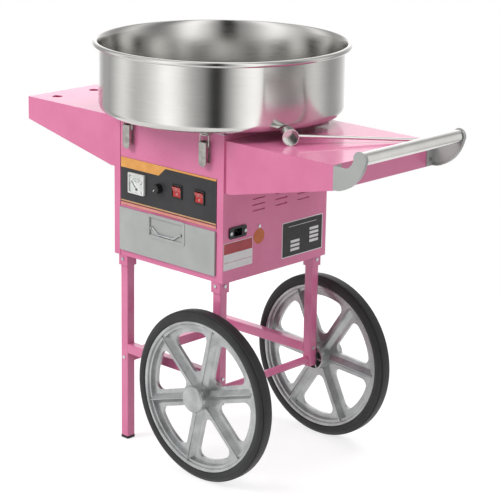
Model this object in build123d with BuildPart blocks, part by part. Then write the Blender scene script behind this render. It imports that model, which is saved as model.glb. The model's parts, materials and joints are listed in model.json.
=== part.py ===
from build123d import *
import os
from math import cos, radians, sin

os.makedirs("parts", exist_ok=True)

# Millimetres. X runs along the shelves, the control panel faces -Y, Z is up, the ground is Z = 0.

# Cabinet
cabinet_width = 308.0
cabinet_depth = 304.0
cabinet_height = 298.0
cabinet_floor = 404.0
sheet = 1.2
sheet_gap = 0.3
front_lip = 17.0
back_lap = 11.0
front_recess = 1.0
seat_height = 5.0
seat_width = 25.0
spindle_opening = 30.0

# Bowl
bowl_radius = 248.0
bowl_wall = 1.0
bowl_height = 136.0
bowl_corner = 18.0
bowl_opening = 95.0
bead_radius = 5.5
bead_overhang = 1.0

# Legs, rails and sockets, all of one square tube
tube_size = 20.0
tube_wall = 1.2
tube_corner = 2.0
leg_inset_x = 21.5
leg_inset_y = 16.0
foot_height = 6.0
socket_height = 23.0
socket_wall = 3.0
socket_chamfer = 1.5
socket_fit = 0.25
socket_screw_drop = 9.0
foot_lap = 0.5
foot_chamfer = 1.0
rail_height = 201.0
side_rail_drop = 20.0

# Wheels
wheel_radius = 175.0
tyre_width = 34.0
tyre_depth = 20.4
wheel_gap = 15.5
rim_depth = 13.5
rim_step = 6.0
rim_step_depth = 4.0
rim_chamfer = 1.5
rim_width = 29.0
web_thickness = 7.0
spoke_count = 6
front_spoke_angle = 17.0
rear_spoke_angle = 4.0
spoke_width = 34.0
spoke_flange = 4.0
spoke_crest = 26.0
window_inset = 11.0
window_round = 14.0
hub_radius = 27.0
hub_wall = 4.0
hub_rib = 3.0
hub_gap = 1.0
hub_proud = 4.0
hub_cap_height = 16.5
axle_radius = 5.0
axle_fit = 0.1
axle_chamfer = 0.8
axle_boss_wall = 5.0
axle_tube_radius = 8.0
leg_below_axle = 13.0

# Shelves and the push handle
shelf_length = 271.0
shelf_depth = 296.0
shelf_drop = 12.0
skirt_height = 48.0
skirt_root_height = 104.0
skirt_root_run = 15.0
cone_hole_radius = 11.0
cone_hole_inset = 42.0
cone_hole_spacing = 104.0
grip_radius = 12.5
grip_wall = 1.2
grip_reach = 61.0
grip_rise = 20.0
bracket_plate = 2.0
bracket_lip = 7.0
bracket_tab = 1.6
bracket_tab_width = 22.0
bracket_boss = 15.0
bracket_screw_inset = 12.0
bracket_screw_drops = (14.0, 34.0)

# Controls
face_margin = 2.0
panel_height = 99.5
panel_thickness = 1.0
panel_bottom = 107.5
meter_inset = 48.5
meter_rise = 50.5
meter_width = 46.0
meter_height = 42.0
meter_proud = 5.0
meter_barrel = 19.0
meter_barrel_depth = 22.0
needle_drop = 11.0
needle_length = 21.0
needle_width = 0.8
needle_rest = 45.0
knob_spacing = 62.5
knob_rise = 52.5
knob_radius = 10.0
knob_height = 12.0
knob_taper = 4.0
knob_round = 1.2
shaft_radius = 3.0
shaft_depth = 16.0
rocker_inset = 45.4
rocker_spacing = 62.3
rocker_rise = 55.5
rocker_width = 28.0
rocker_height = 28.0
rocker_proud = 2.5
rocker_tilt = 8.0
rocker_depth = 16.0
rocker_pin = 1.2
cutout_fit = 0.4

# Mains inlet and the louvres beside it
inlet_y = -112.0
inlet_rise = 99.0
inlet_spacing = 40.0
inlet_flange = 2.5
inlet_flange_lap = 9.0
inlet_flange_height = 23.0
inlet_width = 27.0
inlet_height = 20.0
inlet_depth = 20.0
ground_screw_y = -49.5
louvre_columns = (-52.0, 14.0, 80.0)
louvre_rows = 4
louvre_rise = 151.0
louvre_pitch = 12.0
louvre_width = 35.0
louvre_height = 3.0

# Drawer
drawer_height = 90.0
drawer_bottom = 13.0
drawer_length = 240.0
drawer_front = 4.0
drawer_fit = 3.0
tray_inset = 7.0
tray_rise = 3.0
tray_top_gap = 9.0
pull_width = 100.0
pull_height = 43.0
pull_depth = 3.0
pull_margin = 1.5
pull_inset = 8.0
bail_below_middle = 3.5
bail_drop = 11.0
bail_standoff = 3.4
wire_radius = 1.5

# Latches
latch_spacing = 214.0
latch_width = 20.0
latch_pivot_drop = 23.0
latch_pivot_out = 6.0
latch_crank = 6.0
latch_lever_length = 48.0
bail_wire = 1.3
ledge_gap = 0.6

# Spinner, motor and scoop
head_radius = 80.0
head_wall = 1.5
head_height = 38.0
head_lift = 15.0
spindle_radius = 6.0
motor_radius = 45.0
motor_length = 80.0
motor_flange = 120.0
motor_drop = 30.0
scoop_radius = 16.0
scoop_length = 34.0
scoop_rod = 3.25
scoop_rod_length = 236.0
scoop_from_cabinet = 115.0
scoop_from_edge = 57.5

# Screws
screw_head = 3.6
screw_head_height = 1.8
screw_radius = 1.9
screw_length = 7.0
hole_fit = 0.15

# Heights and distances that follow from the sizes above
cabinet_top = cabinet_floor + cabinet_height
bowl_floor = cabinet_top + seat_height
shelf_top = cabinet_top - shelf_drop
half_width = cabinet_width / 2
half_depth = cabinet_depth / 2
half_tube = tube_size / 2
leg_x = half_width - leg_inset_x
leg_y = half_depth - leg_inset_y
axle_height = wheel_radius
wheel_y = leg_y + half_tube + wheel_gap + tyre_width / 2
shelf_end = half_width + shelf_length
grip_x = shelf_end + grip_reach
grip_z = shelf_top + grip_rise
hole_radius = screw_radius + hole_fit

# The overlay and the drawer's front fill the face between the side panels' lips.
face_width = cabinet_width - 2 * (front_lip + face_margin)

# The ground origin is midway between the outermost points, so the cabinet stands off centre in X.
cabinet_x = (shelf_end - grip_x - bracket_boss) / 2

ground = Plane(origin=(cabinet_x, 0, 0))
front = Plane(origin=(cabinet_x, 0, 0), x_dir=(1, 0, 0), z_dir=(0, -1, 0))
side = Plane(origin=(cabinet_x, 0, 0), x_dir=(0, 1, 0), z_dir=(1, 0, 0))


def point(x, y, z):
    """A place given from the cabinet's centre line."""
    return (cabinet_x + x, y, z)


# Screw places, each a plane on the outer face that the head sits on, with its normal outwards
socket_half = half_tube + socket_fit + socket_wall
socket_screw_z = cabinet_floor - socket_screw_drop
side_rail_height = rail_height - side_rail_drop
socket_screws = []
leg_screws = []
for sx in (-1, 1):
    for sy in (-1, 1):
        y_face = point(sx * leg_x, sy * (leg_y + socket_half), socket_screw_z)
        socket_screws.append(Plane(origin=y_face, z_dir=(0, sy, 0)))
        x_face = point(sx * (leg_x + socket_half), sy * leg_y, socket_screw_z)
        socket_screws.append(Plane(origin=x_face, z_dir=(sx, 0, 0)))
        rail_face = point(sx * (leg_x + half_tube), sy * leg_y, rail_height)
        leg_screws.append(Plane(origin=rail_face, z_dir=(sx, 0, 0)))
for sy in (-1, 1):
    side_face = point(-leg_x, sy * (leg_y + half_tube), side_rail_height)
    leg_screws.append(Plane(origin=side_face, z_dir=(0, sy, 0)))

inlet_z = cabinet_floor + inlet_rise
ground_screw = Plane(origin=point(half_width, ground_screw_y, inlet_z), z_dir=(1, 0, 0))
inlet_screws = [
    Plane(origin=point(half_width + inlet_flange, inlet_y + dy, inlet_z), z_dir=(1, 0, 0))
    for dy in (-inlet_spacing / 2, inlet_spacing / 2)
]
bracket_screws = [
    Plane(
        origin=point(
            shelf_end + bracket_tab, sy * (shelf_depth / 2 - bracket_screw_inset), shelf_top - drop
        ),
        z_dir=(1, 0, 0),
    )
    for sy in (-1, 1)
    for drop in bracket_screw_drops
]


def drill(places, depth):
    """Clearance holes under the screws at the given places."""
    for place in places:
        with BuildSketch(place) as hole:
            Circle(hole_radius)
        extrude(hole.sketch, amount=-depth, mode=Mode.SUBTRACT)


# Legs: the left pair reach the ground on rubber feet, the right pair end just under the axle.
for sx, x_name in ((-1, "left"), (1, "right")):
    for sy, y_name in ((-1, "front"), (1, "rear")):
        low = foot_height if sx < 0 else axle_height - leg_below_axle
        with BuildPart() as leg:
            with BuildSketch(ground.offset(low)):
                with Locations((sx * leg_x, sy * leg_y)):
                    RectangleRounded(tube_size, tube_size, tube_corner)
                    Rectangle(
                        tube_size - 2 * tube_wall, tube_size - 2 * tube_wall, mode=Mode.SUBTRACT
                    )
            extrude(amount=cabinet_floor - low)
            if sx > 0:
                with BuildSketch(front.offset(-sy * leg_y)):
                    with Locations((leg_x, axle_height)):
                        Circle(axle_radius + axle_fit)
                extrude(amount=tube_size, both=True, mode=Mode.SUBTRACT)
            drill(socket_screws, socket_wall + socket_fit + 2 * tube_wall)
            drill(leg_screws, 2 * tube_wall)
        leg.part.label = f"{x_name}_{y_name}_leg"
        export_step(leg.part, f"parts/{x_name}_{y_name}_leg.step")

with BuildPart() as leg_sockets:
    with BuildSketch(ground.offset(cabinet_floor - socket_height)):
        with GridLocations(2 * leg_x, 2 * leg_y, 2, 2):
            Rectangle(2 * socket_half, 2 * socket_half)
            bore = tube_size + 2 * socket_fit
            Rectangle(bore, bore, mode=Mode.SUBTRACT)
    extrude(amount=socket_height)
    chamfer(leg_sockets.edges().filter_by(Axis.Z).group_by(SortBy.LENGTH)[-1], socket_chamfer)
    drill(socket_screws, socket_wall + socket_fit)
leg_sockets.part.label = "leg_sockets"
export_step(leg_sockets.part, "parts/leg_sockets.step")

rail_length = 2 * leg_x - tube_size
for sy, y_name in ((-1, "front"), (1, "rear")):
    with BuildPart() as rail:
        with BuildSketch(side.offset(-rail_length / 2)):
            with Locations((sy * leg_y, rail_height)):
                RectangleRounded(tube_size, tube_size, tube_corner)
                Rectangle(
                    tube_size - 2 * tube_wall, tube_size - 2 * tube_wall, mode=Mode.SUBTRACT
                )
        extrude(amount=rail_length)
    rail.part.label = f"{y_name}_rail"
    export_step(rail.part, f"parts/{y_name}_rail.step")

side_rail_length = 2 * leg_y - tube_size
with BuildPart() as left_rail:
    with BuildSketch(front.offset(-side_rail_length / 2)):
        with Locations((-leg_x, side_rail_height)):
            RectangleRounded(tube_size, tube_size, tube_corner)
            Rectangle(tube_size - 2 * tube_wall, tube_size - 2 * tube_wall, mode=Mode.SUBTRACT)
    extrude(amount=side_rail_length)
left_rail.part.label = "left_rail"
export_step(left_rail.part, "parts/left_rail.step")

with BuildPart() as foot_caps:
    with BuildSketch(ground):
        with Locations((-leg_x, -leg_y), (-leg_x, leg_y)):
            RectangleRounded(tube_size + 2 * foot_lap, tube_size + 2 * foot_lap, tube_corner)
    extrude(amount=foot_height)
    chamfer(foot_caps.faces().group_by(Axis.Z)[0].edges(), foot_chamfer)
foot_caps.part.label = "foot_caps"
export_step(foot_caps.part, "parts/foot_caps.step")

with BuildPart() as axle_tube:
    with BuildSketch(front.offset(-side_rail_length / 2)):
        with Locations((leg_x, axle_height)):
            Circle(axle_tube_radius)
            Circle(axle_radius + axle_fit, mode=Mode.SUBTRACT)
    extrude(amount=side_rail_length)
axle_tube.part.label = "axle_tube"
export_step(axle_tube.part, "parts/axle_tube.step")

# The hub runs from just clear of the leg to past the tyre's outer side.
hub_inner = wheel_y - leg_y - half_tube - hub_gap
hub_outer = tyre_width / 2 + hub_proud
ring_thickness = 2.0
axle_end = hub_outer + 3 * ring_thickness
axle_length = 2 * (wheel_y + axle_end)
with BuildPart() as axle_rod:
    with BuildSketch(front.offset(-axle_length / 2)):
        with Locations((leg_x, axle_height)):
            Circle(axle_radius)
    extrude(amount=axle_length)
    chamfer(axle_rod.edges(), axle_chamfer)
axle_rod.part.label = "axle_rod"
export_step(axle_rod.part, "parts/axle_rod.step")

# Wheels: each side has a spoked rim turning on the rod, a rubber tyre and a domed hub cap.
shoulder = 9.0
groove_width = 3.5
groove_depth = 0.4
tread_drop = 3.0
flank_root = 2.0
flank_middle = 9.0
flank_round = 0.5
rim_radius = wheel_radius - tyre_depth
window_radius = rim_radius - rim_depth
axle_axis = Axis(point(leg_x, 0, axle_height), (0, 1, 0))
cap_wall = 2.0
cap_overlap = 0.5
cap_round = 5.0
spoke_start = 19.0
spoke_overrun = 3.0
spoke_rise = spoke_width / 2 - spoke_flange
wheel_sides = ((-1, "front", front_spoke_angle), (1, "rear", rear_spoke_angle))
for sy, y_name, spoke_angle in wheel_sides:
    centre = point(leg_x, sy * wheel_y, axle_height)
    wheel = Plane(origin=centre, x_dir=(1, 0, 0), z_dir=(0, sy, 0))

    with BuildPart() as rim:
        with BuildSketch(wheel):
            Circle(rim_radius)
            Circle(rim_radius - rim_depth + rim_step, mode=Mode.SUBTRACT)
        extrude(amount=rim_width / 2, both=True)
        chamfer(rim.edges().filter_by(GeomType.CIRCLE), rim_chamfer)
        with BuildSketch(wheel):
            Circle(rim_radius - rim_depth + rim_step)
            Circle(window_radius, mode=Mode.SUBTRACT)
        extrude(amount=rim_width / 2 - rim_step_depth, both=True)
        with BuildSketch(wheel):
            Circle(window_radius)
        extrude(amount=web_thickness / 2, both=True)
        with BuildSketch(wheel) as windows:
            Circle(window_radius - window_inset)
            with PolarLocations(0, spoke_count, spoke_angle):
                Rectangle(
                    rim_radius,
                    spoke_width,
                    align=(Align.MIN, Align.CENTER),
                    mode=Mode.SUBTRACT,
                )
            fillet(windows.vertices(), window_round)
        extrude(amount=web_thickness, both=True, mode=Mode.SUBTRACT)
        # Each spoke is a ridge with a sharp crest on both sides of the web.
        for spoke in range(spoke_count):
            turn = radians(spoke_angle + spoke * 360 / spoke_count)
            along = wheel.x_dir * cos(turn) + wheel.y_dir * sin(turn)
            start = wheel.origin + along * spoke_start
            with BuildSketch(Plane(origin=start, x_dir=wheel.z_dir, z_dir=along)):
                with BuildLine():
                    Polyline(
                        (spoke_crest / 2, 0),
                        (0, spoke_rise),
                        (-spoke_crest / 2, 0),
                        (0, -spoke_rise),
                        close=True,
                    )
                make_face()
            extrude(amount=window_radius + spoke_overrun - spoke_start)
        with BuildSketch(wheel.offset(-hub_inner)):
            Circle(hub_radius)
        extrude(amount=hub_inner + hub_outer)
        with BuildSketch(wheel.offset(-hub_inner)):
            Circle(hub_radius - hub_wall)
            Circle(axle_radius + axle_boss_wall, mode=Mode.SUBTRACT)
            with PolarLocations(0, spoke_count, spoke_angle):
                Rectangle(
                    hub_radius, hub_rib, align=(Align.MIN, Align.CENTER), mode=Mode.SUBTRACT
                )
        extrude(amount=hub_inner - web_thickness, mode=Mode.SUBTRACT)
        with BuildSketch(wheel):
            Circle(axle_radius + axle_fit)
        extrude(amount=tyre_width, both=True, mode=Mode.SUBTRACT)
    rim.part.label = f"{y_name}_wheel_rim"
    export_step(rim.part, f"parts/{y_name}_wheel_rim.step")

    bead = rim_width / 2
    flank = tyre_width / 2
    with BuildPart() as tyre:
        with BuildSketch(Plane(origin=centre, x_dir=(1, 0, 0), z_dir=(0, 0, 1))):
            with BuildLine():
                Line((rim_radius, -bead), (rim_radius, bead))
                for half in (1, -1):
                    root = (rim_radius + flank_root, half * (flank - flank_round))
                    edge = (wheel_radius - tread_drop, half * (shoulder + groove_width))
                    Line((rim_radius, half * bead), root)
                    ThreePointArc(root, (rim_radius + flank_middle, half * flank), edge)
                    Polyline(
                        edge,
                        (wheel_radius - tread_drop - groove_depth, half * (shoulder + 2)),
                        (wheel_radius - 1, half * (shoulder + 1)),
                        (wheel_radius, half * (shoulder - 1)),
                    )
                Line((wheel_radius, shoulder - 1), (wheel_radius, 1 - shoulder))
            make_face()
        revolve(axis=axle_axis)
    tyre.part.label = f"{y_name}_tyre"
    export_step(tyre.part, f"parts/{y_name}_tyre.step")

    with BuildPart() as hub_cap:
        with BuildSketch(wheel.offset(hub_outer)):
            Circle(hub_radius + cap_overlap)
        extrude(amount=hub_cap_height)
        fillet(hub_cap.faces().sort_by(Axis.Y)[0 if sy < 0 else -1].edges(), cap_round)
        with BuildSketch(wheel.offset(hub_outer)):
            Circle(hub_radius - 2 * cap_wall)
        extrude(amount=hub_cap_height - cap_wall, mode=Mode.SUBTRACT)
    hub_cap.part.label = f"{y_name}_hub_cap"
    export_step(hub_cap.part, f"parts/{y_name}_hub_cap.step")

# Cabinet
panel_top = cabinet_top - sheet
panel_rise = panel_top - cabinet_floor
front_face = half_depth - front_recess
drawer_z = cabinet_floor + drawer_bottom + drawer_height / 2
tray_half = face_width / 2 - tray_inset
tray_low = cabinet_floor + drawer_bottom + tray_rise
tray_height = drawer_height - tray_rise - tray_top_gap
guide_height = 40.0

with BuildPart() as base_plate:
    base_half = half_depth - front_recess - sheet - sheet_gap
    with BuildSketch(ground.offset(cabinet_floor)):
        Rectangle(cabinet_width - 2 * (sheet + sheet_gap), 2 * base_half)
    extrude(amount=sheet)
    # Folded guides on either side of the drawer's tray
    with BuildSketch(ground.offset(cabinet_floor)):
        with GridLocations(2 * (tray_half + drawer_fit / 2), 0, 2, 1):
            Rectangle(sheet, 2 * base_half - 2 * leg_inset_y)
    extrude(amount=guide_height)
base_plate.part.label = "base_plate"
export_step(base_plate.part, "parts/base_plate.step")

louvre_z = cabinet_floor + louvre_rise
for sx, x_name in ((-1, "left"), (1, "right")):
    with BuildPart() as side_panel:
        with BuildSketch(ground.offset(cabinet_floor)):
            with Locations((sx * (half_width - sheet / 2), (-back_lap - sheet_gap) / 2)):
                Rectangle(sheet, cabinet_depth - back_lap - sheet_gap)
            with Locations((sx * (half_width - front_lip / 2), (sheet - cabinet_depth) / 2)):
                Rectangle(front_lip, sheet)
        extrude(amount=panel_rise)
        if sx > 0:
            with BuildSketch(side.offset(half_width)):
                for column in louvre_columns:
                    with Locations((column, louvre_z)):
                        with GridLocations(0, louvre_pitch, 1, louvre_rows):
                            SlotOverall(louvre_width, louvre_height)
                with Locations((inlet_y, inlet_z)):
                    Rectangle(inlet_width + 2 * cutout_fit, inlet_height + 2 * cutout_fit)
            extrude(amount=-2 * sheet, mode=Mode.SUBTRACT)
            drill(inlet_screws, inlet_flange + 2 * sheet)
            drill([ground_screw], 2 * sheet)
    side_panel.part.label = f"{x_name}_side_panel"
    export_step(side_panel.part, f"parts/{x_name}_side_panel.step")

with BuildPart() as back_panel:
    with BuildSketch(ground.offset(cabinet_floor)):
        with Locations((0, half_depth - sheet / 2)):
            Rectangle(cabinet_width, sheet)
        with Locations((0, half_depth - back_lap / 2)):
            with GridLocations(cabinet_width - sheet, 0, 2, 1):
                Rectangle(sheet, back_lap)
    extrude(amount=panel_rise)
back_panel.part.label = "back_panel"
export_step(back_panel.part, "parts/back_panel.step")

with BuildPart() as top_plate:
    with BuildSketch(ground.offset(panel_top)):
        Rectangle(cabinet_width, cabinet_depth)
    extrude(amount=sheet)
    with BuildSketch(ground.offset(panel_top)):
        Circle(bowl_opening + seat_width)
    extrude(amount=sheet + seat_height)
    with BuildSketch(ground.offset(cabinet_top)):
        Circle(bowl_opening)
    extrude(amount=seat_height, mode=Mode.SUBTRACT)
    with BuildSketch(ground.offset(panel_top)):
        Circle(spindle_opening)
    extrude(amount=sheet, mode=Mode.SUBTRACT)
top_plate.part.label = "top_plate"
export_step(top_plate.part, "parts/top_plate.step")

# Controls, placed from the panel's lower edge
panel_z = cabinet_floor + panel_bottom
meter_x = meter_inset - face_width / 2
meter_z = panel_z + meter_rise
knob_x = meter_x + knob_spacing
knob_z = panel_z + knob_rise
rocker_z = panel_z + rocker_rise
motor_rocker_x = face_width / 2 - rocker_inset
rockers = (("heater", motor_rocker_x - rocker_spacing), ("motor", motor_rocker_x))
rocker_wall = 1.2
bezel_lip = 1.5


def control_cutouts():
    """The openings that the front panel and its overlay share, on a sketch in the front plane."""
    with Locations((meter_x, meter_z)):
        Circle(meter_barrel + cutout_fit)
    with Locations((knob_x, knob_z)):
        Circle(shaft_radius + cutout_fit)
    with Locations(*[(rocker_x, rocker_z) for _, rocker_x in rockers]):
        Rectangle(
            rocker_width - 2 * (bezel_lip - cutout_fit), rocker_height - 2 * (bezel_lip - cutout_fit)
        )


with BuildPart() as front_panel:
    with BuildSketch(front.offset(front_face)):
        with Locations((0, (cabinet_floor + panel_top) / 2)):
            Rectangle(cabinet_width - 2 * (front_lip + sheet_gap), panel_rise)
    extrude(amount=-sheet)
    with BuildSketch(front.offset(front_face)):
        with Locations((0, tray_low + tray_height / 2)):
            Rectangle(2 * (tray_half + drawer_fit), tray_height + drawer_fit)
        control_cutouts()
    extrude(amount=-2 * sheet, mode=Mode.SUBTRACT)
front_panel.part.label = "front_panel"
export_step(front_panel.part, "parts/front_panel.step")

with BuildPart() as control_panel:
    with BuildSketch(front.offset(front_face)):
        with Locations((0, panel_z + panel_height / 2)):
            Rectangle(face_width, panel_height)
    extrude(amount=panel_thickness)
    with BuildSketch(front.offset(front_face)):
        control_cutouts()
    extrude(amount=panel_thickness, mode=Mode.SUBTRACT)
control_panel.part.label = "control_panel"
export_step(control_panel.part, "parts/control_panel.step")

overlay = front_face + panel_thickness
meter_rim = 3.0
dial_depth = 3.5
window_thickness = 0.8
with BuildPart() as voltmeter_case:
    with BuildSketch(front.offset(overlay)):
        with Locations((meter_x, meter_z)):
            RectangleRounded(meter_width, meter_height, 2)
    extrude(amount=meter_proud)
    with BuildSketch(front.offset(overlay)):
        with Locations((meter_x, meter_z)):
            Circle(meter_barrel)
    extrude(amount=-meter_barrel_depth)
    with BuildSketch(front.offset(overlay + meter_proud)):
        with Locations((meter_x, meter_z)):
            Rectangle(meter_width - 2 * meter_rim, meter_height - 2 * meter_rim)
    extrude(amount=-dial_depth, mode=Mode.SUBTRACT)
voltmeter_case.part.label = "voltmeter_case"
export_step(voltmeter_case.part, "parts/voltmeter_case.step")

with BuildPart() as voltmeter_window:
    with BuildSketch(front.offset(overlay + meter_proud)):
        with Locations((meter_x, meter_z)):
            Rectangle(meter_width - 2 * meter_rim, meter_height - 2 * meter_rim)
    extrude(amount=-window_thickness)
voltmeter_window.part.label = "voltmeter_window"
export_step(voltmeter_window.part, "parts/voltmeter_window.step")

dial_face = overlay + meter_proud - dial_depth
needle_z = meter_z - needle_drop
needle_hub = 2.2
with BuildPart() as voltmeter_needle:
    with BuildSketch(front.offset(dial_face + 0.4)):
        with Locations((meter_x, needle_z)):
            Circle(needle_hub)
    extrude(amount=1.6)
    with BuildSketch(front.offset(dial_face + 0.8)):
        with Locations((meter_x, needle_z)):
            with Locations(Rotation(0, 0, 90 + needle_rest)):
                Rectangle(needle_length, needle_width, align=(Align.MIN, Align.CENTER))
    extrude(amount=0.5)
voltmeter_needle.part.label = "voltmeter_needle"
export_step(voltmeter_needle.part, "parts/voltmeter_needle.step")

knob_gap = 0.4
with BuildPart() as heat_knob:
    with BuildSketch(front.offset(overlay + knob_gap)):
        with Locations((knob_x, knob_z)):
            Circle(knob_radius)
    extrude(amount=knob_height, taper=knob_taper)
    fillet(heat_knob.faces().sort_by(Axis.Y)[0].edges(), knob_round)
    with BuildSketch(front.offset(overlay + knob_gap)):
        with Locations((knob_x, knob_z)):
            Circle(shaft_radius)
    extrude(amount=-shaft_depth)
heat_knob.part.label = "heat_knob"
export_step(heat_knob.part, "parts/heat_knob.step")

# Each rocker is a shallow V on a pin through the housing's side walls, just behind the overlay.
pivot_y = -(overlay - 2)
body_width = rocker_width - 2 * bezel_lip
body_height = rocker_height - 2 * bezel_lip
with BuildPart() as rocker_housings:
    for _, rocker_x in rockers:
        with BuildSketch(front.offset(overlay)):
            with Locations((rocker_x, rocker_z)):
                RectangleRounded(rocker_width, rocker_height, 1.5)
        extrude(amount=rocker_proud)
        with BuildSketch(front.offset(overlay)):
            with Locations((rocker_x, rocker_z)):
                Rectangle(body_width, body_height)
        extrude(amount=-rocker_depth)
        with BuildSketch(front.offset(overlay + rocker_proud)):
            with Locations((rocker_x, rocker_z)):
                Rectangle(body_width - 2 * rocker_wall, body_height - 2 * rocker_wall)
        extrude(amount=rocker_wall - rocker_depth - rocker_proud, mode=Mode.SUBTRACT)
        with BuildSketch(side.offset(rocker_x - body_width / 2)):
            with Locations((pivot_y, rocker_z)):
                Circle(rocker_pin + axle_fit)
        extrude(amount=body_width, mode=Mode.SUBTRACT)
rocker_housings.part.label = "rocker_housings"
export_step(rocker_housings.part, "parts/rocker_housings.step")

rocker_half = body_height / 2 - rocker_wall - 0.9
rocker_sunk = rocker_proud + 2.5
rocker_back = 3.0
tipped = (0, cos(radians(rocker_tilt)), sin(radians(rocker_tilt)))
for rocker_name, rocker_x in rockers:
    rocker_body = body_width - 2 * rocker_wall - 0.6
    with BuildPart() as rocker:
        start = point(rocker_x - rocker_body / 2, pivot_y, rocker_z)
        with BuildSketch(Plane(origin=start, x_dir=tipped, z_dir=(1, 0, 0))):
            with BuildLine():
                Polyline(
                    (-rocker_sunk, rocker_half),
                    (2 - rocker_sunk, 0),
                    (-rocker_sunk, -rocker_half),
                    (rocker_back, 2 - rocker_half),
                    (rocker_back, rocker_half - 2),
                    close=True,
                )
            make_face()
        extrude(amount=rocker_body)
        with BuildSketch(side.offset(rocker_x - body_width / 2)):
            with Locations((pivot_y, rocker_z)):
                Circle(rocker_pin)
        extrude(amount=body_width)
    rocker.part.label = f"{rocker_name}_rocker"
    export_step(rocker.part, f"parts/{rocker_name}_rocker.step")

# Drawer, with a shallow recess in its front for the pull plate and the swinging bail
pull_z = cabinet_floor + drawer_bottom + drawer_height - pull_margin - pull_height / 2
bail_half = pull_width / 2 - pull_inset
bail_z = pull_z - bail_below_middle
bail_y = drawer_front - pull_depth + bail_standoff
with BuildPart() as drawer_tray:
    with BuildSketch(front.offset(half_depth)):
        with Locations((0, drawer_z)):
            RectangleRounded(face_width, drawer_height, 1)
    extrude(amount=drawer_front)
    with BuildSketch(front.offset(half_depth)):
        with Locations((0, tray_low + tray_height / 2)):
            Rectangle(2 * tray_half, tray_height)
    extrude(amount=-drawer_length)
    with BuildSketch(ground.offset(tray_low + sheet)):
        with Locations((0, drawer_length / 2 - half_depth)):
            Rectangle(2 * (tray_half - sheet), drawer_length - 2 * sheet)
    extrude(amount=tray_height, mode=Mode.SUBTRACT)
    with BuildSketch(front.offset(half_depth + drawer_front)):
        with Locations((0, pull_z)):
            RectangleRounded(pull_width, pull_height, 3)
    extrude(amount=-pull_depth, mode=Mode.SUBTRACT)
drawer_tray.part.label = "drawer_tray"
export_step(drawer_tray.part, "parts/drawer_tray.step")

pull_floor = half_depth + drawer_front - pull_depth
ear_size = 5.0
ear_height = 5.4
with BuildPart() as drawer_pull_plate:
    with BuildSketch(front.offset(pull_floor)):
        with Locations((0, pull_z)):
            RectangleRounded(pull_width - 2 * cutout_fit, pull_height - 2 * cutout_fit, 2.6)
    extrude(amount=0.8)
    with BuildSketch(front.offset(pull_floor)):
        with Locations((0, bail_z)):
            with GridLocations(2 * bail_half, 0, 2, 1):
                Rectangle(3, ear_size)
    extrude(amount=ear_height)
    with BuildSketch(side.offset(-bail_half - ear_size)):
        with Locations((-half_depth - bail_y, bail_z)):
            Circle(wire_radius + 0.1)
    extrude(amount=2 * (bail_half + ear_size), mode=Mode.SUBTRACT)
drawer_pull_plate.part.label = "drawer_pull_plate"
export_step(drawer_pull_plate.part, "parts/drawer_pull_plate.step")

with BuildPart() as drawer_bail:
    with BuildLine(front.offset(half_depth + bail_y)) as bail_path:
        FilletPolyline(
            (-bail_half - 2, bail_z),
            (4 - bail_half, bail_z),
            (20 - bail_half, bail_z - bail_drop),
            (bail_half - 20, bail_z - bail_drop),
            (bail_half - 4, bail_z),
            (bail_half + 2, bail_z),
            radius=2.5,
        )
    with BuildSketch(side.offset(-bail_half - 2)):
        with Locations((-half_depth - bail_y, bail_z)):
            Circle(wire_radius)
    sweep(path=bail_path.wires()[0])
drawer_bail.part.label = "drawer_bail"
export_step(drawer_bail.part, "parts/drawer_bail.step")

# Mains inlet, a flanged three-pin socket in the right side
pocket_width = 22.0
pocket_height = 15.0
pocket_depth = 18.0
pin_spacing = 7.0
pin_width = 2.0
pin_length = 15.0
with BuildPart() as power_inlet:
    with BuildSketch(side.offset(half_width)):
        with Locations((inlet_y, inlet_z)):
            RectangleRounded(inlet_spacing + inlet_flange_lap, inlet_flange_height, 5)
    extrude(amount=inlet_flange)
    with BuildSketch(side.offset(half_width)):
        with Locations((inlet_y, inlet_z)):
            Rectangle(inlet_width, inlet_height)
    extrude(amount=-inlet_depth)
    with BuildSketch(side.offset(half_width + inlet_flange)):
        with Locations((inlet_y, inlet_z)):
            Rectangle(pocket_width, pocket_height)
    extrude(amount=-pocket_depth, mode=Mode.SUBTRACT)
    with BuildSketch(side.offset(half_width - pocket_depth)):
        with Locations(
            (inlet_y - pin_spacing, inlet_z - pin_width),
            (inlet_y, inlet_z + pin_width),
            (inlet_y + pin_spacing, inlet_z - pin_width),
        ):
            Rectangle(pin_width, 2 * pin_width)
    extrude(amount=pin_length)
    drill(inlet_screws, 2 * inlet_flange)
power_inlet.part.label = "power_inlet"
export_step(power_inlet.part, "parts/power_inlet.step")

# Shelves, folded from one sheet, with skirts that deepen towards the cabinet
root_round = 8.0
for sx, x_name in ((-1, "left"), (1, "right")):
    with BuildPart() as shelf:
        inner = sx * half_width
        outer = sx * shelf_end
        root = shelf_top - skirt_root_height
        for trim in (0, sheet):
            with BuildSketch(front.offset(-shelf_depth / 2 + trim)) as profile:
                with BuildLine():
                    Polyline(
                        (inner + sx * trim, shelf_top - trim),
                        (outer - sx * trim, shelf_top - trim),
                        (outer - sx * trim, shelf_top - skirt_height - trim),
                        (inner + sx * skirt_root_run, root - trim),
                        (inner + sx * trim, root - trim),
                        close=True,
                    )
                make_face()
            extrude(
                amount=shelf_depth - 2 * trim, mode=Mode.SUBTRACT if trim else Mode.ADD
            )
        if sx < 0:
            with BuildSketch(ground.offset(shelf_top)):
                with Locations((cone_hole_inset - shelf_end, 0)):
                    with GridLocations(0, cone_hole_spacing, 1, 3):
                        Circle(cone_hole_radius)
            extrude(amount=-2 * sheet, mode=Mode.SUBTRACT)
        else:
            drill(bracket_screws, bracket_tab + 2 * sheet)
    shelf.part.label = f"{x_name}_shelf"
    export_step(shelf.part, f"parts/{x_name}_shelf.step")

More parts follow.
